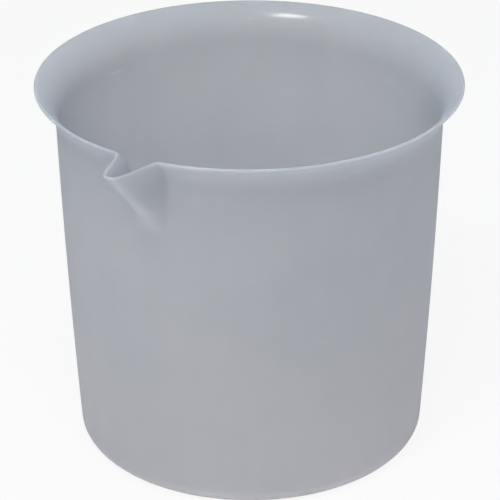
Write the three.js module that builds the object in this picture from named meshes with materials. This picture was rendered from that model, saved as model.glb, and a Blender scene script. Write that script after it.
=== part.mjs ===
// A low laboratory beaker of about five litres, moulded in one piece from translucent plastic.
// It has a slightly bowed, tapered wall, a flared rim and one pouring spout pressed out of the wall.
// Millimetres, +Z up. The origin is the centre of the underside, and the spout points along -Y.
import * as THREE from "three";
import { LoftGeometry } from "three/addons/geometries/LoftGeometry.js";

// Outside of the vessel
const overallHeight = 200;
const rimRadius = 110.2;
const wallTopRadius = 100.2; // where the wall would reach the height of the rim without the flare
const wallFootRadius = 91.2; // where the wall would reach the underside without its round corner
const wallBow = 1; // how far the wall swells past a straight taper at half height
const cornerRadius = 8.8; // between the underside and the wall
const lipSlope = 55; // degrees from the vertical at the edge of the flare

// Thickness of the plastic
const wallThickness = 1.5;
const floorThickness = 2;

// Spout
const spoutReach = 24.9; // how far the tip stands past the rim circle
const spoutDepth = 39.9; // how far below the rim the straight ridge meets the wall
const spoutHalfWidth = 13.5; // from the middle of the spout to a shoulder, along the rim
const spoutEase = 8; // gap between ridge and wall within which the two ease together
const noseBluntness = 1.25; // 1 is a plain cosine hump, and more makes the nose rounder

// Steps of the surface
const stepsAround = 104;
const crowding = 0.8; // how much closer together the steps around lie at the spout
const cornerSteps = 5;
const lowerWallSteps = 4;
const spoutWallSteps = 8;
const flareSteps = 6;
const lipSteps = 4;

// The wall without flare and spout: a taper with an even swelling.
function wallRadius(height) {
  const share = height / overallHeight;
  const taper = THREE.MathUtils.lerp(wallFootRadius, wallTopRadius, share);
  return taper + 4 * wallBow * share * (1 - share);
}

function wallRun(height) {
  const share = height / overallHeight;
  const taper = (wallTopRadius - wallFootRadius) / overallHeight;
  return taper + (4 * wallBow * (1 - 2 * share)) / overallHeight;
}

// The lip is a full round as thick as the wall, so the outer skin stops just short of the rim
// radius and of the overall height.
const halfWall = wallThickness / 2;
const lipAngle = THREE.MathUtils.degToRad(lipSlope);
const edgeRadius = rimRadius - halfWall * (1 - Math.cos(lipAngle));
const edgeHeight = overallHeight - halfWall * (1 + Math.sin(lipAngle));

// The flare is a circular arc added to the wall, from nothing up to that edge.
const flareTurn = Math.atan(Math.tan(lipAngle) - wallRun(edgeHeight));
const flareRadius = (edgeRadius - wallRadius(edgeHeight)) / (1 - Math.cos(flareTurn));
const flareStart = edgeHeight - flareRadius * Math.sin(flareTurn);

function flareWidth(height) {
  const climb = THREE.MathUtils.clamp(height - flareStart, 0, flareRadius);
  return flareRadius - Math.sqrt(flareRadius ** 2 - climb ** 2);
}

// The section of the outer skin, from the edge of the flat underside up to the edge of the flare.
// Each station has its radius and height, and the direction of the skin there as run and rise.
function cornerStations() {
  const lean = Math.atan(wallRun(0));
  const top = cornerRadius * (1 - Math.sin(lean));
  const centre = wallRadius(top) - cornerRadius * Math.cos(lean);
  const stations = [];
  for (let step = 0; step <= cornerSteps; step++) {
    const share = step / cornerSteps;
    const turn = THREE.MathUtils.lerp(-Math.PI / 2, -lean, share);
    stations.push({
      radius: centre + cornerRadius * Math.cos(turn),
      height: cornerRadius * (1 + Math.sin(turn)),
      run: -Math.sin(turn),
      rise: Math.cos(turn),
      thickness: THREE.MathUtils.lerp(floorThickness, wallThickness, share),
    });
  }
  return stations;
}

function wallStation(height) {
  return { radius: wallRadius(height), height, run: wallRun(height), rise: 1, thickness: wallThickness };
}

function wallStations(bottom, top, steps) {
  const stations = [];
  for (let step = 1; step <= steps; step++) {
    stations.push(wallStation(THREE.MathUtils.lerp(bottom, top, step / steps)));
  }
  return stations;
}

function flareStations() {
  const stations = [];
  for (let step = 1; step <= flareSteps; step++) {
    const turn = (flareTurn * step) / flareSteps;
    const station = wallStation(flareStart + flareRadius * Math.sin(turn));
    station.radius += flareWidth(station.height);
    station.run += Math.tan(turn);
    stations.push(station);
  }
  return stations;
}

function outerSection() {
  const corner = cornerStations();
  const spoutFoot = ridgeFoot - spoutEase;
  return [
    ...corner,
    ...wallStations(corner.at(-1).height, spoutFoot, lowerWallSteps),
    ...wallStations(spoutFoot, flareStart, spoutWallSteps),
    ...flareStations(),
  ];
}

// The larger of two values, with the change from one to the other eased over a range.
function easedMax(a, b, range) {
  const overlap = Math.max(range - Math.abs(a - b), 0);
  return Math.max(a, b) + overlap ** 2 / (4 * range);
}

// A hump that is 1 in the middle and runs out smoothly to 0 at a distance of 1.
function hump(distance) {
  const share = Math.min(Math.abs(distance), 1) ** noseBluntness;
  return (1 + Math.cos(Math.PI * share)) / 2;
}

// How far the spout stands out of the round vessel, at an angle from its middle and at a height.
// The ridge is a straight line from the tip, at the edge of the flare, down to the wall.
const ridgeFoot = overallHeight - spoutDepth;
const ridgeRun = (rimRadius + spoutReach - wallRadius(ridgeFoot)) / (edgeHeight - ridgeFoot);

function spoutPress(angle, height) {
  const vessel = wallRadius(height) + flareWidth(height);
  const ridge = rimRadius + spoutReach - ridgeRun * (edgeHeight - height);
  const across = (angle * rimRadius) / spoutHalfWidth;
  return easedMax(ridge - vessel, 0, spoutEase) * hump(across);
}

// A point of the outer skin, with the outward normal and the upward direction of the skin there.
function outerSkin(station, angle) {
  const nudge = 1e-4;
  const { height, run, rise, thickness } = station;
  const perAngle = (spoutPress(angle + nudge, height) - spoutPress(angle - nudge, height)) / (2 * nudge);
  const perHeight = (spoutPress(angle, height + nudge) - spoutPress(angle, height - nudge)) / (2 * nudge);
  const radius = station.radius + spoutPress(angle, height);
  const outward = new THREE.Vector3(Math.sin(angle), -Math.cos(angle), 0);
  const sideways = new THREE.Vector3(Math.cos(angle), Math.sin(angle), 0);
  const around = sideways.multiplyScalar(radius).addScaledVector(outward, perAngle);
  const up = outward.clone().multiplyScalar(run + perHeight * rise).setZ(rise).normalize();
  const normal = around.cross(up).normalize();
  const point = outward.multiplyScalar(radius).setZ(height);
  return { point, normal, up, thickness };
}

// The skin turned through the plastic: 0 is its outer face, half a turn is its inner face, and
// between them it runs round the lip.
function roundTheLip({ point, normal, up, thickness }, turn) {
  const half = thickness / 2;
  const middle = point.clone().addScaledVector(normal, -half);
  middle.addScaledVector(normal, half * Math.cos(turn));
  return middle.addScaledVector(up, half * Math.sin(turn));
}

// Angles from the middle of the spout, all the way round, closest together at the spout.
function anglesAround() {
  const angles = [];
  for (let step = 0; step < stepsAround; step++) {
    const even = (2 * Math.PI * step) / stepsAround - Math.PI;
    angles.push(even - crowding * Math.sin(even));
  }
  return angles;
}

// One loft makes the whole vessel: from the underside up the outside, over the lip, down the
// inside, and across the floor to a point on the axis. A cap closes the flat underside.
function vesselGeometry() {
  const angles = anglesAround();
  const section = outerSection();
  const edge = section.at(-1);
  const ring = (station, turn) => angles.map((angle) => roundTheLip(outerSkin(station, angle), turn));
  const rings = section.map((station) => ring(station, 0));
  for (let step = 1; step < lipSteps; step++) {
    rings.push(ring(edge, (Math.PI * step) / lipSteps));
  }
  for (const station of section.toReversed()) {
    rings.push(ring(station, Math.PI));
  }
  rings.push(angles.map(() => new THREE.Vector3(0, 0, floorThickness)));
  return new LoftGeometry(rings, { capStart: true });
}

const naturalPlastic = new THREE.MeshStandardMaterial({ color: "#b5b9c0", roughness: 0.4, metalness: 0 });

const body = new THREE.Mesh(vesselGeometry(), naturalPlastic);
body.name = "beaker_body";

const beaker = new THREE.Group();
beaker.add(body);

export default beaker;
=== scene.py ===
# Low laboratory beaker of natural, translucent plastic. Run it in Blender 4.5.
# Everything is in metres, +Z up, with the spout along -Y and the underside at z = 0.
import math

import bmesh
import bpy
from mathutils import Matrix, Vector


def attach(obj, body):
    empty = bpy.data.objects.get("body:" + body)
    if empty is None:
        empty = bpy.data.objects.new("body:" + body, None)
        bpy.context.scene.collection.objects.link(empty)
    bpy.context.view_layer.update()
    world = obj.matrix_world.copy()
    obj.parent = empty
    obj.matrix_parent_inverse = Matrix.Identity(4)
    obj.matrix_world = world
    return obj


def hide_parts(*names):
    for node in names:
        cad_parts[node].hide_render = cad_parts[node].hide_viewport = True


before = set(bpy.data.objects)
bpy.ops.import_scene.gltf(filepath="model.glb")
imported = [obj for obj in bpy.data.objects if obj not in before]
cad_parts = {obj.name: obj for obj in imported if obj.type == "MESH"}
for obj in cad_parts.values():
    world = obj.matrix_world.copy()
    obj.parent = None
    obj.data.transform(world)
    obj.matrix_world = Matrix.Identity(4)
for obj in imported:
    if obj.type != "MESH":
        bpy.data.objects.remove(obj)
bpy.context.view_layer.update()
mm = 0.001
print("frame loaded")


# The vessel: one skin is drawn, spun, pressed into a spout and given its wall

vessel = {
    "height": 200 * mm,
    "rimRadius": 110.2 * mm,
    "wallTopRadius": 100.2 * mm,  # of the plain taper, at the height of the rim
    "wallFootRadius": 91.2 * mm,  # of the plain taper, at the underside
    "wallBow": 1 * mm,  # swelling at half height
    "cornerRadius": 8.8 * mm,
    "lipSlope": 55,  # degrees from the vertical
    "lipRound": 0.98,  # share of half the wall that is rounded at each edge of the lip
    "wall": 1.5 * mm,
    "floor": 2 * mm,
    "crease": 35,  # degrees: an edge that turns more than this stays sharp
    "weld": 0.001 * mm,  # vertices closer than this become one
    "around": 360,  # steps around
    "crowding": 0.8,  # how much closer together they lie at the spout
    "floorSteps": 6,
    "cornerSteps": 10,
    "lowerSteps": 14,
    "upperSteps": 34,
    "flareSteps": 16,
    "lipSteps": 5,
}

spout = {
    "reach": 24.9 * mm,  # of the tip, past the rim circle
    "depth": 39.9 * mm,  # of the ridge's foot, below the rim
    "halfWidth": 13.5 * mm,  # from its middle to where a shoulder runs out, along the rim
    "bluntness": 1.25,  # of the nose: at 1 the hump is a plain cosine
    "softness": 1.4,  # of the shoulders: at 1 the hump is a plain cosine
    "ease": 8 * mm,  # gap between ridge and wall within which the two ease together
}

gateMark = {  # the dimple under the floor, with the stub that the mould leaves in it
    "radius": 3.4 * mm,
    "depth": 0.4 * mm,
    "slope": 0.3 * mm,
    "stubRadius": 1.1 * mm,
    "stubHeight": 0.25 * mm,
}


def blend(a, b, share):
    return a + (b - a) * share


def wallRadius(height):
    share = height / vessel["height"]
    taper = blend(vessel["wallFootRadius"], vessel["wallTopRadius"], share)
    return taper + 4 * vessel["wallBow"] * share * (1 - share)


def wallRun(height):  # how much the wall leans outwards there
    share = height / vessel["height"]
    taper = vessel["wallTopRadius"] - vessel["wallFootRadius"]
    return (taper + 4 * vessel["wallBow"] * (1 - 2 * share)) / vessel["height"]


nudge = 0.01 * mm  # for telling heights and radii apart
halfWall = vessel["wall"] / 2
lipSlope = math.radians(vessel["lipSlope"])
lipSide = math.sin(lipSlope)
lipRise = math.cos(lipSlope)
edgeRadius = vessel["rimRadius"] - halfWall * (1 - lipRise)
edgeHeight = vessel["height"] - halfWall * (1 + lipSide)
flareTurn = math.atan(math.tan(lipSlope) - wallRun(edgeHeight))
flareRadius = (edgeRadius - wallRadius(edgeHeight)) / (1 - math.cos(flareTurn))
flareStart = edgeHeight - flareRadius * math.sin(flareTurn)
ridgeFoot = vessel["height"] - spout["depth"]
spoutTip = vessel["rimRadius"] + spout["reach"]
cornerLean = math.atan(wallRun(0))
cornerTop = vessel["cornerRadius"] * (1 - math.sin(cornerLean))
cornerCentre = wallRadius(cornerTop) - vessel["cornerRadius"] * math.cos(cornerLean)


def flareWidth(height):
    climb = min(max(height - flareStart, 0), flareRadius)
    return flareRadius - math.sqrt(flareRadius**2 - climb**2)


def spoutPress(angle, height):  # how far the spout stands out of the round vessel
    ridgeRun = (spoutTip - wallRadius(ridgeFoot)) / (edgeHeight - ridgeFoot)
    ridge = spoutTip - ridgeRun * (edgeHeight - height)
    gap = ridge - wallRadius(height) - flareWidth(height)
    overlap = max(spout["ease"] - abs(gap), 0)
    across = min(abs(angle) * vessel["rimRadius"] / spout["halfWidth"], 1)
    hump = (1 + math.cos(math.pi * across ** spout["bluntness"])) / 2
    return (max(gap, 0) + overlap**2 / (4 * spout["ease"])) * hump ** spout["softness"]


def drawTo(bm, last, radius, height, steps=1):  # a straight stretch of the section
    start = last.co.copy()
    for step in range(1, steps + 1):
        last = bmesh.ops.extrude_vert_indiv(bm, verts=[last])["verts"][0]
        last.co = start.lerp(Vector((radius, 0, height)), step / steps)
    return last


def drawArc(bm, last, centre, turn, steps):  # a round stretch, and its last vertex
    axis = (0, -1 if turn > 0 else 1, 0)
    spun = bmesh.ops.spin(bm, geom=[last], cent=centre, axis=axis, angle=abs(turn), steps=steps)
    return next(item for item in spun["geom_last"] if isinstance(item, bmesh.types.BMVert))


def drawSection(bm):  # the outer skin, from the axis under the floor up to the lip
    depth = gateMark["depth"]
    stub = depth - gateMark["stubHeight"]
    last = bm.verts.new((0, 0, stub))
    last = drawTo(bm, last, gateMark["stubRadius"], stub)
    last = drawTo(bm, last, gateMark["stubRadius"] + gateMark["slope"], depth)
    last = drawTo(bm, last, gateMark["radius"] - gateMark["slope"], depth)
    last = drawTo(bm, last, gateMark["radius"], 0)
    last = drawTo(bm, last, cornerCentre, 0, vessel["floorSteps"])
    corner = (cornerCentre, 0, vessel["cornerRadius"])
    last = drawArc(bm, last, corner, math.pi / 2 - cornerLean, vessel["cornerSteps"])
    spoutFoot = ridgeFoot - spout["ease"]
    last = drawTo(bm, last, last.co.x, spoutFoot, vessel["lowerSteps"])
    last = drawTo(bm, last, last.co.x, flareStart, vessel["upperSteps"])
    last.co.x = wallRadius(flareStart)
    last = drawArc(bm, last, (last.co.x + flareRadius, 0, flareStart), -flareTurn, vessel["flareSteps"])
    for vert in bm.verts:
        if vert.co.z > flareStart + nudge:
            vert.co.x += wallRadius(vert.co.z) - wallRadius(flareStart)
        elif vert.co.z > cornerTop:
            vert.co.x = wallRadius(vert.co.z)
    last.co += Vector((lipSide, 0, lipRise)) * halfWall  # room for the round of the lip


def pressSpout(bm):
    for vert in bm.verts:
        radius = math.hypot(vert.co.x, vert.co.y)
        angle = math.atan2(vert.co.x, -vert.co.y)
        angle -= vessel["crowding"] * math.sin(angle)
        if vert.co.z > cornerTop:
            radius += spoutPress(angle, vert.co.z)
        vert.co.x = radius * math.sin(angle)
        vert.co.y = -radius * math.cos(angle)


def giveThickness(bm):  # an inner skin, joined to the outer one at the lip
    bm.normal_update()
    outer = bm.verts[:]
    copy = bmesh.ops.duplicate(bm, geom=outer + bm.edges[:] + bm.faces[:])
    for vert in outer:
        inner = copy["vert_map"][vert]
        share = min(vert.co.z / cornerTop, 1)
        if math.hypot(vert.co.x, vert.co.y) < cornerCentre + nudge:
            inner.co.z = vessel["floor"]
        else:
            inner.co = vert.co - vert.normal * blend(vessel["floor"], vessel["wall"], share)
    faces = [item for item in copy["geom"] if isinstance(item, bmesh.types.BMFace)]
    bmesh.ops.reverse_faces(bm, faces=faces)
    rims = [edge for edge in bm.edges if edge.is_boundary]
    bmesh.ops.bridge_loops(bm, edges=rims)
    bmesh.ops.bevel(
        bm,
        geom=rims,
        offset=halfWall * vessel["lipRound"],
        offset_type="OFFSET",
        segments=vessel["lipSteps"],
        profile=0.5,
        affect="EDGES",
        material=-1,
        clamp_overlap=True,
    )


def makeVessel():
    bm = bmesh.new()
    drawSection(bm)
    section = bm.verts[:] + bm.edges[:]
    bmesh.ops.spin(
        bm, geom=section, axis=(0, 0, 1), angle=2 * math.pi, steps=vessel["around"], use_merge=True
    )
    bmesh.ops.remove_doubles(bm, verts=bm.verts[:], dist=vessel["weld"])
    pressSpout(bm)
    bmesh.ops.recalc_face_normals(bm, faces=bm.faces[:])
    if min(bm.faces, key=lambda face: face.calc_center_median().z).normal.z > 0:
        bmesh.ops.reverse_faces(bm, faces=bm.faces[:])  # an open skin can come out facing inwards
    giveThickness(bm)
    bmesh.ops.recalc_face_normals(bm, faces=bm.faces[:])
    for face in bm.faces:
        face.smooth = True
    for edge in bm.edges:
        edge.smooth = edge.calc_face_angle(0) < math.radians(vessel["crease"])
    mesh = bpy.data.meshes.new("vessel")
    bm.to_mesh(mesh)
    bm.free()
    piece = bpy.data.objects.new("vessel", mesh)
    bpy.context.scene.collection.objects.link(piece)
    return piece


# Materials

class Signal:  # a socket that can be used in a sum
    def __init__(self, recipe, socket):
        self.recipe = recipe
        self.socket = socket

    def maths(self, operation, first, second):
        node = self.recipe.add("ShaderNodeMath", {"operation": operation}, {0: first, 1: second})
        return self.recipe.signal(node)

    def __add__(self, other):
        return self.maths("ADD", self, other)

    __radd__ = __add__

    def __sub__(self, other):
        return self.maths("SUBTRACT", self, other)

    def __rsub__(self, other):
        return self.maths("SUBTRACT", other, self)

    def __mul__(self, other):
        return self.maths("MULTIPLY", self, other)

    __rmul__ = __mul__

    def __truediv__(self, other):
        return self.maths("DIVIDE", self, other)

    def __rtruediv__(self, other):
        return self.maths("DIVIDE", other, self)


class Recipe:  # a material or a world, and what is added to its nodes
    def __init__(self, owner):
        owner.use_nodes = True
        self.tree = owner.node_tree
        self.tree.nodes.clear()

    def add(self, kind, settings=None, sockets=None):
        node = self.tree.nodes.new(kind)
        for name, value in (settings or {}).items():
            setattr(node, name, value)
        for name, value in (sockets or {}).items():
            if isinstance(value, Signal):
                self.tree.links.new(value.socket, node.inputs[name])
            else:
                node.inputs[name].default_value = value
        return node

    def signal(self, node, output=0):
        return Signal(self, node.outputs[output])

    def noise(self, place, scale, detail=2, roughness=0.5, stretch=(1, 1, 1)):
        moved = self.add("ShaderNodeMapping", {}, {"Vector": place, "Scale": stretch})
        sockets = {
            "Vector": self.signal(moved),
            "Scale": scale,
            "Detail": detail,
            "Roughness": roughness,
        }
        return self.signal(self.add("ShaderNodeTexNoise", {}, sockets), "Fac")

    def ramp(self, value, low, high):  # 0 below low, 1 above high, eased between them
        smooth = {"interpolation_type": "SMOOTHSTEP"}
        sockets = {"Value": value, "From Min": low, "From Max": high}
        return self.signal(self.add("ShaderNodeMapRange", smooth, sockets))

    def tint(self, share, first, second):
        node = self.add("ShaderNodeMix", {"data_type": "RGBA"}, {0: share, 6: first, 7: second})
        return self.signal(node, 2)


plastic = {
    "milky": (0.585, 0.595, 0.65, 1),
    "clear": (0.36, 0.4, 0.465, 1),
    "scuffed": (0.56, 0.57, 0.61, 1),
    "footPaintedLight": 0.8,  # painted light: how much lighter the colour is painted at the foot than at the rim, standing in for light bounced up from the floor
    "cloudMilk": 0.2,  # how much whiter it is in its cloudy patches and flow lines
    "cloudScale": 14,
    "cloudRange": (0.3, 0.7),
    "flowScale": 60,
    "flowShare": 0.15,  # of the flow lines among the clouds
    "scuffScale": 260,
    "scuffRange": (0.68, 0.8),
    "scuffShow": 0.5,
    "footWear": 0.12,  # how much more the foot is scuffed
    "footBand": (1 * mm, 14 * mm),
    "rimWear": 0.1,
    "rimBand": 4 * mm,
    "roughness": 0.3,
    "patchScale": 30,
    "patchRoughness": 0.12,
    "scuffRoughness": 0.2,
    "waveScale": 22,
    "waveBump": {"Strength": 0.35, "Distance": 0.5 * mm},
    "peelScale": 700,
    "peelBump": {"Strength": 0.25, "Distance": 0.03 * mm},
    "bend": 1.49,  # index of refraction
    "shine": 0.08,  # how much of a clear skin lies over the soft body
    "shineRoughness": 0.2,
    "depth": 20 * mm,  # how far light spreads inside
}


def naturalPlastic():
    material = bpy.data.materials.new("natural plastic")
    recipe = Recipe(material)
    place = recipe.signal(recipe.add("ShaderNodeTexCoord"), "Object")
    height = recipe.signal(recipe.add("ShaderNodeSeparateXYZ", {}, {0: place}), "Z")

    # the plastic is whiter in cloudy patches and in faint upright flow lines; towards the foot the colour
    # is also painted lighter, a painted stand-in for light bounced up from the floor
    cloud = recipe.noise(place, plastic["cloudScale"], detail=3)
    flow = recipe.noise(place, plastic["flowScale"], detail=2, stretch=(1, 1, 0.06))
    patchy = cloud * (1 - plastic["flowShare"]) + flow * plastic["flowShare"]
    low = 1 - height / vessel["height"]
    milkAndPaintedLight = recipe.ramp(patchy, *plastic["cloudRange"]) * plastic["cloudMilk"] + low * plastic["footPaintedLight"]
    colour = recipe.tint(milkAndPaintedLight, plastic["clear"], plastic["milky"])

    # hairline scuffs, mostly round the foot and the rim
    hairs = recipe.noise(place, plastic["scuffScale"], detail=3, roughness=0.6, stretch=(0.12, 0.12, 1))
    foot = 1 - recipe.ramp(height, *plastic["footBand"])
    rim = recipe.ramp(height, vessel["height"] - plastic["rimBand"], vessel["height"])
    wear = hairs + foot * plastic["footWear"] + rim * plastic["rimWear"]
    worn = recipe.ramp(wear, *plastic["scuffRange"])
    colour = recipe.tint(worn * plastic["scuffShow"], colour, plastic["scuffed"])

    patches = recipe.noise(place, plastic["patchScale"], detail=4)
    roughness = (patches - 0.5) * plastic["patchRoughness"]
    roughness = roughness + worn * plastic["scuffRoughness"] + plastic["roughness"]

    # moulded skin: long shallow waves under a fine orange peel
    waves = recipe.noise(place, plastic["waveScale"], detail=1)
    peel = recipe.noise(place, plastic["peelScale"], detail=2)
    skin = recipe.add("ShaderNodeBump", {}, {**plastic["waveBump"], "Height": waves})
    fine = {**plastic["peelBump"], "Height": peel + flow, "Normal": recipe.signal(skin)}
    normal = recipe.signal(recipe.add("ShaderNodeBump", {}, fine))

    shader = recipe.add(
        "ShaderNodeBsdfPrincipled",
        {"subsurface_method": "RANDOM_WALK"},
        {
            "Base Color": colour,
            "Roughness": roughness,
            "Normal": normal,
            "IOR": plastic["bend"],
            "Specular IOR Level": 0,
            "Coat Weight": plastic["shine"],
            "Coat Roughness": plastic["shineRoughness"],
            "Subsurface Weight": 1,
            "Subsurface Radius": (1, 1, 1),
            "Subsurface Scale": plastic["depth"],
        },
    )
    recipe.add("ShaderNodeOutputMaterial", {}, {"Surface": recipe.signal(shader)})
    return material


# Studio: pale floor, soft lights and the camera

studio = {
    "floorRadius": 8,
    "floorSteps": 96,
    "floorColour": (0.9, 0.9, 0.9, 1),
    "floorWhiteness": 0.88,  # how much of the floor the camera sees as plain white
    "skyLight": 0.2,  # strength of the even light from all round
    "lampDistance": 1.8,
}


def showWhite(recipe):  # 1 for rays from the camera, and for what mirrors or glass show it
    rays = recipe.add("ShaderNodeLightPath")
    seen = recipe.signal(rays, "Is Camera Ray")
    mirrored = recipe.signal(rays, "Is Glossy Ray")
    passed = recipe.signal(rays, "Is Transmission Ray")
    either = seen.maths("MAXIMUM", seen, mirrored)
    return either.maths("MAXIMUM", either, passed)


def makeWorld():
    world = bpy.data.worlds.new("studio")
    bpy.context.scene.world = world
    recipe = Recipe(world)
    soft = recipe.add("ShaderNodeBackground", {}, {"Strength": studio["skyLight"]})
    white = recipe.add("ShaderNodeBackground", {}, {"Strength": 1})
    both = {0: showWhite(recipe), 1: recipe.signal(soft), 2: recipe.signal(white)}
    mixed = recipe.add("ShaderNodeMixShader", {}, both)
    recipe.add("ShaderNodeOutputWorld", {}, {"Surface": recipe.signal(mixed)})


def makeFloor():
    bm = bmesh.new()
    steps = studio["floorSteps"]
    bmesh.ops.create_circle(bm, cap_ends=True, segments=steps, radius=studio["floorRadius"])
    mesh = bpy.data.meshes.new("floor")
    bm.to_mesh(mesh)
    bm.free()
    floor = bpy.data.objects.new("floor", mesh)
    bpy.context.scene.collection.objects.link(floor)
    material = bpy.data.materials.new("floor")
    recipe = Recipe(material)
    plain = recipe.add("ShaderNodeBsdfDiffuse", {}, {"Color": studio["floorColour"]})
    white = recipe.add("ShaderNodeEmission", {}, {"Strength": 1})
    both = {
        0: showWhite(recipe) * studio["floorWhiteness"],
        1: recipe.signal(plain),
        2: recipe.signal(white),
    }
    mixed = recipe.add("ShaderNodeMixShader", {}, both)
    recipe.add("ShaderNodeOutputMaterial", {}, {"Surface": recipe.signal(mixed)})
    mesh.materials.append(material)


lamps = {  # azimuth is to the right of the camera
    "key": {"azimuth": -30, "elevation": 55, "size": (0.46, 0.12), "power": 5.6, "colour": (0.9, 0.975, 1)},
    "glint": {  # lights nothing, and only shows as a sharper reflection of the key
        "azimuth": -30, "elevation": 55, "size": (0.46, 0.1), "power": 62, "colour": (1, 1, 1),
        "mirroredOnly": True,
    },
    "front": {"azimuth": 0, "elevation": 30, "size": (1.2, 1.2), "power": 13.5, "colour": (1, 0.84, 0.735)},
    "left": {"azimuth": -60, "elevation": 40, "size": (1.2, 1.2), "power": 2.4, "colour": (0.92, 0.975, 1)},
    "right": {"azimuth": 90, "elevation": 40, "size": (1.2, 1.2), "power": 2.8, "colour": (0.91, 0.945, 1)},
    "top": {"azimuth": 0, "elevation": 65, "size": (1.2, 1.2), "power": 6.3, "colour": (0.8, 0.895, 1)},
    "back": {"azimuth": 180, "elevation": 65, "size": (1.2, 1.2), "power": 5.4, "colour": (0.71, 0.86, 1)},
}

view = {
    "azimuth": 30,
    "elevation": 26.83,
    "distance": 1428.8 * mm,
    "target": (0, 0, 99.98 * mm),
    "roll": -0.301,
    "focalPixels": 2702,
    "imagePixels": 500,
    "sensor": 36,  # width in millimetres, as a lens is given
    "shift": (-0.0005, 0.0065),
    "sight": 50,  # how far the camera sees
}


def direction(azimuth, elevation):
    turn = math.radians(azimuth)
    climb = math.radians(elevation)
    return Vector((math.sin(turn) * math.cos(climb), -math.cos(turn) * math.cos(climb), math.sin(climb)))


def aim(piece, way, distance, roll=0):  # stands a lamp or the camera off the beaker, looking back at it
    side = Vector((-way.y, way.x, 0)).normalized()
    up = way.cross(side)
    turn = math.radians(roll)
    right = side * math.cos(turn) + up * math.sin(turn)
    above = way.cross(right)
    place = Matrix.Translation(Vector(view["target"]) + way * distance)
    piece.matrix_world = place @ Matrix((right, above, way)).transposed().to_4x4()


def makeLamps():
    for name, lamp in lamps.items():
        data = bpy.data.lights.new(name, "AREA")
        data.shape = "ELLIPSE"
        data.size, data.size_y = lamp["size"]
        data.energy = lamp["power"]
        data.color = lamp["colour"]
        piece = bpy.data.objects.new(name, data)
        bpy.context.scene.collection.objects.link(piece)
        piece.visible_diffuse = not lamp.get("mirroredOnly", False)
        way = direction(view["azimuth"] + lamp["azimuth"], lamp["elevation"])
        aim(piece, way, studio["lampDistance"])


def makeCamera():
    data = bpy.data.cameras.new("camera")
    data.sensor_width = view["sensor"]
    data.lens = view["focalPixels"] / view["imagePixels"] * data.sensor_width
    data.shift_x, data.shift_y = view["shift"]
    data.clip_end = view["sight"]
    piece = bpy.data.objects.new("camera", data)
    bpy.context.scene.collection.objects.link(piece)
    aim(piece, direction(view["azimuth"], view["elevation"]), view["distance"], view["roll"])
    bpy.context.scene.camera = piece


bpy.context.scene.view_settings.view_transform = "Standard"
makeCamera()
makeWorld()
makeFloor()
makeLamps()
print("studio set up")

beaker = makeVessel()
beaker.name = "beaker"
beaker.data.materials.append(naturalPlastic())
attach(beaker, "root")
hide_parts("beaker_body")
print("beaker made, faces", len(beaker.data.polygons))
